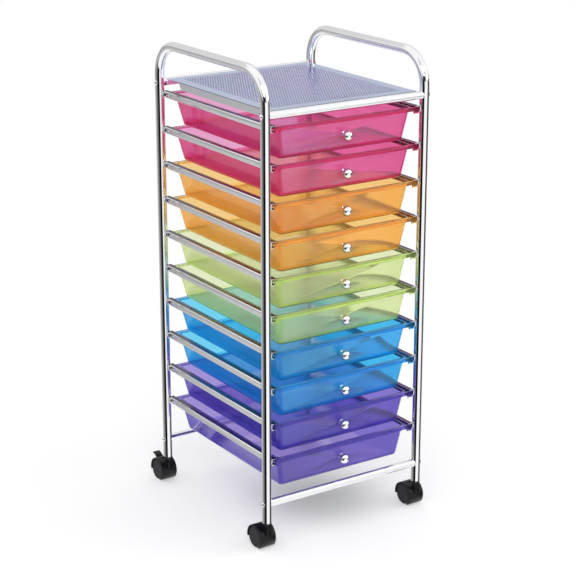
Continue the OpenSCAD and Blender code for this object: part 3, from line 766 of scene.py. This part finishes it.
    def camera(self, scene):
        """Stands about where the photograph was taken from and looks at the middle of the cart."""
        azimuth, tilt, distance = math.radians(-33.457), math.radians(17.284), 3.518
        target = Vector((-0.0033, (FRONT_POST_Y + REAR_POST_Y) / 2 + 0.0009, 0.4991))
        data = bpy.data.cameras.new("camera")
        data.sensor_width = 36.0
        data.lens = 106.6
        data.shift_y = -0.03
        data.clip_end = 50.0
        camera = placed("camera", data)
        level = math.cos(tilt)
        back = Vector((math.sin(azimuth) * level, -math.cos(azimuth) * level, math.sin(tilt)))
        right = Vector((0, 0, 1)).cross(back).normalized()
        up = back.cross(right)
        place = target + back * distance
        camera.matrix_world = Matrix((
            (right.x, up.x, back.x, place.x), (right.y, up.y, back.y, place.y),
            (right.z, up.z, back.z, place.z), (0, 0, 0, 1)))
        scene.camera = camera


class CART_OT_side_frames(bpy.types.Operator):
    """Bends the two side frames with their handles and sets the cross bars between them"""
    bl_idname = "cart.side_frames"
    bl_label = "Side frames and bars"

    def execute(self, context):
        sizes, finish = context.scene.cart_sizes, context.scene.cart_finish
        chrome = plated("Polished chrome tube", finish.chrome, roughness=0.02, clouding=0.04)
        satin = plated("Bright chrome bar", finish.chrome, roughness=0.16, clouding=0.06)
        for side, sign in (("left", -1), ("right", 1)):
            x = sign * POST_X
            points = ((x, FRONT_POST_Y, TUBE_LOW.z), (x, FRONT_POST_Y, HANDLE_Z),
                      (x, REAR_POST_Y, HANDLE_Z), (x, REAR_POST_Y, TUBE_LOW.z))
            piece = tube(f"side_tube_{side}", points, sizes.tube_diameter, sizes.bend_radius, chrome)
            seat(piece, f"frame_{side}")
        end_x = POST_X - sizes.tube_diameter / 4
        for node in CROSS_BARS:
            low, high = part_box(node)
            y, z = (low.y + high.y) / 2, (low.z + high.z) / 2
            piece = tube(f"{node}_tube", ((-end_x, y, z), (end_x, y, z)), sizes.bar_diameter, 0.0, satin)
            seat(piece, node)
        return {"FINISHED"}


class CART_OT_bolts(bpy.types.Operator):
    """Puts a domed socket bolt through each post at each cross bar"""
    bl_idname = "cart.bolts"
    bl_label = "Frame bolts"

    def execute(self, context):
        sizes, finish = context.scene.cart_sizes, context.scene.cart_finish
        steel = plated("Chrome bolt", finish.chrome, roughness=0.12, clouding=0.08)
        points = []
        turns = []
        for bar in CROSS_BARS:
            low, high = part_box(bar)
            for sign in (-1, 1):
                points.append((sign * (POST_X + TUBE_D / 2), (low.y + high.y) / 2, (low.z + high.z) / 2))
                turns.append((0.0, math.radians(90 * sign), 0.0))
        seed = bpy.data.meshes.new("bolt places")
        seed.from_pydata(points, [], [])
        turn = seed.attributes.new("turn", "FLOAT_VECTOR", "POINT")
        for place, value in enumerate(turns):
            turn.data[place].vector = value
        bolt = placed("bolt", self.bolt_mesh(sizes.bolt_head))
        mesh = grown_mesh(seed, copies_tree(), {"Piece": bolt, "Material": steel})
        bpy.data.objects.remove(bolt)
        seat(new_piece("socket_bolts", mesh, steel), "frame_bolts")
        return {"FINISHED"}

    def bolt_mesh(self, head_d):
        """Bolt along Z: shank below, dome above zero, hexagonal key socket in the dome."""
        steps, head_h, shank_r, shank_l, chamfer = 36, 0.003, 0.003, 0.037, 0.0006
        under_edge, dome_lift, dome_steps = 0.0002, 0.00002, 8
        key_half, key_mouth_r, key_bevel, key_depth, key_tip = 0.0018, 0.0024, 0.0006, 0.0022, 0.0002
        dome_r = (head_d ** 2 / 4 + head_h ** 2) / (2 * head_h)
        profile = [(0, -shank_l), (shank_r - chamfer, -shank_l), (shank_r, -shank_l + chamfer), (shank_r, 0),
                   (head_d / 2 - under_edge, 0)]
        for step in range(dome_steps + 1):
            radius = head_d / 2 - (head_d / 2 - key_mouth_r) * step / dome_steps
            profile.append((radius, head_h - dome_r + math.sqrt(dome_r ** 2 - radius ** 2) + dome_lift))
        work = bmesh.new()
        rings = profile_rings(work, profile, steps, Matrix())
        for height in (head_h - key_bevel, head_h - key_depth):
            ring = []
            for step in range(steps):
                angle = 2 * math.pi * step / steps
                off = (angle + math.pi / 6) % (math.pi / 3) - math.pi / 6
                ring.append(work.verts.new(on_circle(key_half / math.cos(off), angle, height)))
            rings.append(ring)
        rings.append([work.verts.new((0, 0, head_h - key_depth - key_tip))])
        close_rings(work, rings, steps)
        return closed_mesh("bolt", work)


class CART_OT_rails(bpy.types.Operator):
    """Finishes the folded channel rails of every level"""
    bl_idname = "cart.rails"
    bl_label = "Rails"

    def execute(self, context):
        sizes, finish = context.scene.cart_sizes, context.scene.cart_finish
        level_normal = 0.97
        chrome = plated("Folded chrome rail", finish.chrome, roughness=0.08, clouding=0.08, scale=30.0)
        # Painted reflection: the rails' upward faces get a dark second plating that stands in for the dark
        # things they mirror from above
        painted_reflection = plated("Dull rail top", finish.rail_top, roughness=0.14, clouding=0.08, scale=30.0)
        for level in range(1, LEVELS + 1):
            piece = rounded_copy(f"rails_{level}", f"channel_rails_{level}", chrome, sizes.rail_edge)
            second_material(piece.data, painted_reflection, lambda face: face.normal.z > level_normal)
        return {"FINISHED"}


class CART_OT_shelf(bpy.types.Operator):
    """Cuts the top shelf's sheet with its staggered holes and folds its flanges"""
    bl_idname = "cart.shelf"
    bl_label = "Shelf"

    def execute(self, context):
        sizes, finish = context.scene.cart_sizes, context.scene.cart_finish
        steel = plated("Plated shelf sheet", finish.shelf, roughness=0.20, clouding=0.10, scale=12.0)
        bright = plated("Plated shelf flange", finish.shelf_flange, roughness=0.16, clouding=0.10, scale=12.0)
        pitch, thick = sizes.hole_pitch, sizes.sheet_thickness
        row_step = pitch * math.sin(math.radians(60))
        margin, flange_start = 0.024, 0.002
        x, y = SHELF_HIGH.x, (SHELF_HIGH.y - SHELF_LOW.y) / 2
        middle_y = (SHELF_HIGH.y + SHELF_LOW.y) / 2
        columns = 2 * math.floor((x - margin) / pitch) + 1
        rows = 2 * math.floor((y - margin) / row_step) + 1
        cell = placed("cell", self.cell_mesh(pitch, sizes.hole_diameter, thick))
        seed = bpy.data.meshes.new("seed")
        seed.from_pydata([(0, 0, 0)], [], [])
        holes = grown_mesh(seed, staggered_tree(), {
            "Cell": cell, "Pitch": pitch, "Columns": columns, "Rows": rows, "Material": steel})
        bpy.data.objects.remove(cell)
        work = bmesh.new()
        work.from_mesh(holes)
        # Every other row stands half a pitch to the right, so the whole goes back by a quarter
        bmesh.ops.translate(work, verts=work.verts, vec=(-pitch / 4, middle_y, SHELF_HIGH.z))
        self.border(work, x, middle_y, y, SHELF_HIGH.z, thick)
        self.flanges(work, x, middle_y, y)
        piece = new_piece("perforated_shelf", mesh_from("shelf", work), steel)
        # Painted light: the flanges get a lighter copy of the sheet's plating
        second_material(piece.data, bright, lambda face: face.center.z < SHELF_HIGH.z - flange_start)
        seat(piece, "shelf_panel")
        return {"FINISHED"}

    def cell_mesh(self, pitch, hole_d, thick):
        """Hexagonal cell of the sheet round one hole, open at its outer edges."""
        work = bmesh.new()
        sides = 10
        outer = [(pitch / math.sqrt(3), math.radians(30 + 60 * k)) for k in range(6)]
        inner = [(hole_d / 2, 2 * math.pi * k / sides) for k in range(sides)]
        rims = [[[work.verts.new(on_circle(r, a, z)) for r, a in loop] for loop in (outer, inner)]
                for z in (0.0, -thick)]
        for (out_ring, in_ring), up in zip(rims, (True, False)):
            i = j = 0
            while i < 6 or j < sides:
                next_out = outer[i % 6][1] + 2 * math.pi * (i // 6) + math.radians(60)
                next_in = inner[j % sides][1] + 2 * math.pi * (j // sides) + 2 * math.pi / sides
                if j < sides and (i >= 6 or next_in <= next_out):
                    face = (out_ring[i % 6], in_ring[(j + 1) % sides], in_ring[j % sides])
                    j += 1
                else:
                    face = (out_ring[i % 6], out_ring[(i + 1) % 6], in_ring[j % sides])
                    i += 1
                work.faces.new(face if up else tuple(reversed(face)))
        close_rings(work, (rims[0][1], rims[1][1]), sides)
        return mesh_from("cell", work)

    def border(self, work, x, middle_y, y, top_z, thick):
        """Fills the plain border between the cells and the sheet's edges, top and bottom."""
        edge_rings = {}
        for z in (top_z, top_z - thick):
            edge_rings[z] = [work.verts.new((sx * x, middle_y + sy * y, z))
                             for sx, sy in ((-1, -1), (1, -1), (1, 1), (-1, 1))]
        work.verts.ensure_lookup_table()
        for z, corners in edge_rings.items():
            loop = [edge for edge in work.edges
                    if edge.is_boundary and all(abs(v.co.z - z) < SAME_HEIGHT for v in edge.verts)]
            rim = [work.edges.new((corners[k], corners[(k + 1) % 4])) for k in range(4)]
            bmesh.ops.triangle_fill(work, edges=loop + rim, use_beauty=True)
        close_rings(work, (edge_rings[top_z - thick], edge_rings[top_z]), 4)
        bmesh.ops.recalc_face_normals(work, faces=work.faces)

    def flanges(self, work, x, middle_y, y):
        """Edges turned down all round, the side ones narrowing at their ends."""
        thick, end_h, side_h, front_inset, rear_inset, slant = 0.001, 0.013, 0.015, 0.026, 0.046, 0.009
        sunk = 0.0001
        top = SHELF_HIGH.z - sunk
        outlines = []
        for sign in (-1, 1):
            flat = [(-x, top), (x, top), (x, SHELF_HIGH.z - end_h), (-x, SHELF_HIGH.z - end_h)]
            outer_y = middle_y + sign * y
            outlines.append(([Vector((px, outer_y, pz)) for px, pz in flat], Vector((0, -sign * thick, 0))))
            side = [(-y + front_inset, top), (-y + front_inset + slant, SHELF_HIGH.z - side_h),
                    (y - rear_inset - slant, SHELF_HIGH.z - side_h), (y - rear_inset, top)]
            outlines.append(([Vector((sign * x, middle_y + py, pz)) for py, pz in side],
                             Vector((-sign * thick, 0, 0))))
        for corners, inward in outlines:
            plate = bmesh.new()
            front = [plate.verts.new(c) for c in corners]
            back = [plate.verts.new(c + inward) for c in corners]
            plate.faces.new(front)
            plate.faces.new(reversed(back))
            close_rings(plate, (back, front), len(front))
            mesh = closed_mesh("plate", plate)
            work.from_mesh(mesh)
            bpy.data.meshes.remove(mesh)


class CART_OT_drawers(bpy.types.Operator):
    """Moulds the ten translucent drawers, two of each colour"""
    bl_idname = "cart.drawers"
    bl_label = "Drawers"

    def execute(self, context):
        sizes = context.scene.cart_sizes
        for level in range(1, LEVELS + 1):
            node, colour = f"drawer_{level}", COLOUR_OF_LEVEL[level - 1]
            piece = rounded_copy(node, f"drawer_tub_{level}", tinted(colour), sizes.drawer_edge)
            self.mark_depth(piece.data, SIDE_SHADE_DEPTH[colour], *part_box(node))
        return {"FINISHED"}

    def mark_depth(self, mesh, side_shade_depth, low, high):
        """Stores how deep the colour is: most at the thick rim and lip, some along the tub's edges, and
        painted shade on the side walls.

        The tub's faces are cut along the start and the end of each change, so that it stays narrow."""
        rim_h, side_t, outside, band, soft, cut_gap = 0.0098, 0.0026, 0.0008, 0.0075, 0.0018, 0.000001
        plain_depth, edge_depth, rim_depth, lip_depth = 0.04, 0.7, 0.7, 1.0
        side = TubWall((DRAWER_HALF_WIDTH, 0, high.z), (1, 0, -DRAWER_SIDE_SLOPE))
        other = TubWall((-DRAWER_HALF_WIDTH, 0, high.z), (-1, 0, -DRAWER_SIDE_SLOPE))
        front = TubWall((0, low.y + DRAWER_LIP, high.z), (0, -1, -DRAWER_FRONT_SLOPE))
        back = TubWall((0, high.y - DRAWER_BACK_RIM, high.z), (0, 1, -DRAWER_BACK_SLOPE))
        floor = TubWall((0, 0, low.z), (0, 0, -1))
        walls = (side, other, front, back, floor)
        work = bmesh.new()
        work.from_mesh(mesh)
        for wall in walls:
            for inset in (band, band + soft):
                geometry = [*work.verts, *work.edges, *work.faces]
                bmesh.ops.bisect_plane(work, geom=geometry, dist=cut_gap,
                                       plane_co=wall.point - wall.normal * inset, plane_no=wall.normal)
        work.to_mesh(mesh)
        work.free()
        depth = mesh.attributes.new("depth", "FLOAT", "POINT")
        for mark, vertex in zip(depth.data, mesh.vertices):
            place = vertex.co
            near = sorted(max(0.0, min(1.0, (band + soft - wall.distance(place)) / soft)) for wall in walls)
            value = plain_depth + edge_depth * near[-2]
            # Painted shade on the side walls: deeper colour for the dark surroundings they mirror
            if min(side.distance(place), other.distance(place)) < side_t:
                value = max(value, side_shade_depth)
            if place.y < low.y + DRAWER_LIP and high.z - place.z < rim_h:
                value = lip_depth
            elif min(wall.distance(place) for wall in (side, other, back)) < -outside:
                value = rim_depth
            mark.value = value


class CART_OT_knobs(bpy.types.Operator):
    """Turns the ball knobs and their screws"""
    bl_idname = "cart.knobs"
    bl_label = "Knobs"

    def execute(self, context):
        sizes, finish = context.scene.cart_sizes, context.scene.cart_finish
        chrome = plated("Polished chrome knob", finish.chrome, roughness=0.05, clouding=0.05, scale=90.0)
        turn = Matrix.Rotation(KNOB_TURN, 4, "X")
        ball_r = sizes.knob_diameter / 2
        for level in range(1, LEVELS + 1):
            node = f"knob_{level}"
            low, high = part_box(node)
            centre = Vector((0, low.y + ball_r, high.z - ball_r))
            place = Matrix.Translation(centre - turn @ Vector((0, 0, sizes.knob_reach))) @ turn
            work = bmesh.new()
            self.ball(work, place, ball_r, sizes.knob_reach)
            self.screw(work, place)
            seat(new_piece(f"ball_knob_{level}", closed_mesh(node, work), chrome), node)
        return {"FINISHED"}

    def ball(self, work, place, ball_r, reach):
        neck_r, foot_r, foot_h, edge, shoulder = 0.0045, 0.006, 0.0022, 0.0003, 0.0006
        start = -math.degrees(math.acos(neck_r / ball_r))
        profile = [(0, 0), (foot_r - edge, 0), (foot_r, edge), (foot_r, foot_h - shoulder),
                   (foot_r - shoulder, foot_h), (neck_r, foot_h)]
        profile += arc(0, reach, ball_r, start, 90, steps=28)
        revolve(work, profile, steps=48, matrix=place)

    def screw(self, work, place):
        wall, head_r, head_h = 0.0018, 0.004, 0.0024
        end = -wall - head_h
        profile = [(0, end), (head_r - 0.001, end), (head_r - 0.0003, end + 0.0004), (head_r, end + 0.0012),
                   (head_r, -wall), (0, -wall)]
        revolve(work, profile, steps=24, matrix=place)


class CART_OT_casters(bpy.types.Operator):
    """Assembles the twin-wheel casters with their hoods, wheels, sockets and brake pedals"""
    bl_idname = "cart.casters"
    bl_label = "Casters"

    def execute(self, context):
        sizes, finish = context.scene.cart_sizes, context.scene.cart_finish
        hood = moulded("Satin black moulding", finish.black_plastic, roughness=0.34)
        socket = moulded("Black socket moulding", finish.black_plastic, roughness=0.42)
        wheel = moulded("Grey wheel moulding", finish.wheel_plastic, roughness=0.36, grain_scale=1200.0)
        steel = plated("Bright zinc pin", (0.62, 0.62, 0.64), roughness=0.22, clouding=0.1)
        for corner in CORNERS:
            rounded_copy(f"caster_hood_{corner}", f"hood_shell_{corner}", hood, sizes.caster_edge)
            rounded_copy(f"axle_{corner}", f"axle_pin_{corner}", steel, edge=0.0002)
            for place in ("outer", "inner"):
                side = -1 if ("left" in corner) == (place == "outer") else 1
                self.wheel(f"wheel_{corner}_{place}", side, wheel)
        for side in ("left", "right"):
            rounded_copy(f"brake_pedal_{side}", f"pedal_blade_{side}", hood, edge=0.0004)
        rounded_copy("stem_sockets", "post_sockets", socket, edge=0.0004)
        rounded_copy("caster_stems", "stem_pins", steel, edge=0.0003)
        rounded_copy("bar_end_plugs", "threaded_plugs", steel, edge=0.0002)
        return {"FINISHED"}

    def wheel(self, node, side, material):
        """Wheel with rounded treads, a dished face with a ring and an open inner side."""
        low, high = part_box(node)
        radius, width = (high.z - low.z) / 2, high.x - low.x
        centre = Vector((low.x if side > 0 else high.x, (low.y + high.y) / 2, (low.z + high.z) / 2))
        place = Matrix.Translation(centre) @ Matrix.Rotation(math.radians(90 * side), 4, "Y")
        face, rim, corner, bore, hub = width - 0.0026, radius - 0.004, 0.0022, 0.00206, 0.005
        profile = [(0, face), (bore, face), (bore, 0), (hub, 0), (hub, face), (rim, face), (rim, 0.0006),
                   (rim + 0.0006, 0)]
        profile += arc(radius - corner, corner, corner, -90, 0, steps=6)
        profile += arc(radius - corner, width - corner, corner, 0, 90, steps=6)
        # The ring's groove, then the face, dished a little towards the middle
        profile += [(radius - 0.0034, width), (radius - 0.0038, width - 0.0006),
                    (radius - 0.0050, width - 0.0008), (radius - 0.0054, width - 0.0003),
                    (radius * 0.5, width - 0.00045), (0.004, width - 0.0004), (0, width - 0.00035)]
        work = bmesh.new()
        revolve(work, profile, steps=64, matrix=place)
        seat(new_piece(node.replace("wheel", "caster_wheel"), closed_mesh(node, work), material), node)


class CART_PT_sidebar(bpy.types.Panel):
    """Lists the cart's sizes, colours and build steps"""
    bl_idname = "CART_PT_sidebar"
    bl_label = "Drawer cart"
    bl_space_type = "VIEW_3D"
    bl_region_type = "UI"
    bl_category = "Drawer cart"

    def draw(self, context):
        for group in (context.scene.cart_sizes, context.scene.cart_finish):
            for key in group.__annotations__:
                self.layout.prop(group, key)
        for step in STEPS:
            self.layout.operator(step.bl_idname)


STEPS = (CART_OT_stage, CART_OT_side_frames, CART_OT_bolts, CART_OT_rails, CART_OT_shelf,
         CART_OT_drawers, CART_OT_knobs, CART_OT_casters)
CLASSES = (CartSizes, CartFinish, *STEPS, CART_PT_sidebar)


def register():
    for item in CLASSES:
        bpy.utils.register_class(item)
    bpy.types.Scene.cart_sizes = bpy.props.PointerProperty(type=CartSizes)
    bpy.types.Scene.cart_finish = bpy.props.PointerProperty(type=CartFinish)


def unregister():
    del bpy.types.Scene.cart_finish
    del bpy.types.Scene.cart_sizes
    for item in reversed(CLASSES):
        bpy.utils.unregister_class(item)


def main():
    register()
    bpy.ops.cart.stage()
    bpy.ops.cart.side_frames()
    bpy.ops.cart.bolts()
    bpy.ops.cart.rails()
    bpy.ops.cart.shelf()
    bpy.ops.cart.drawers()
    bpy.ops.cart.knobs()
    bpy.ops.cart.casters()


if __name__ == "__main__":
    main()
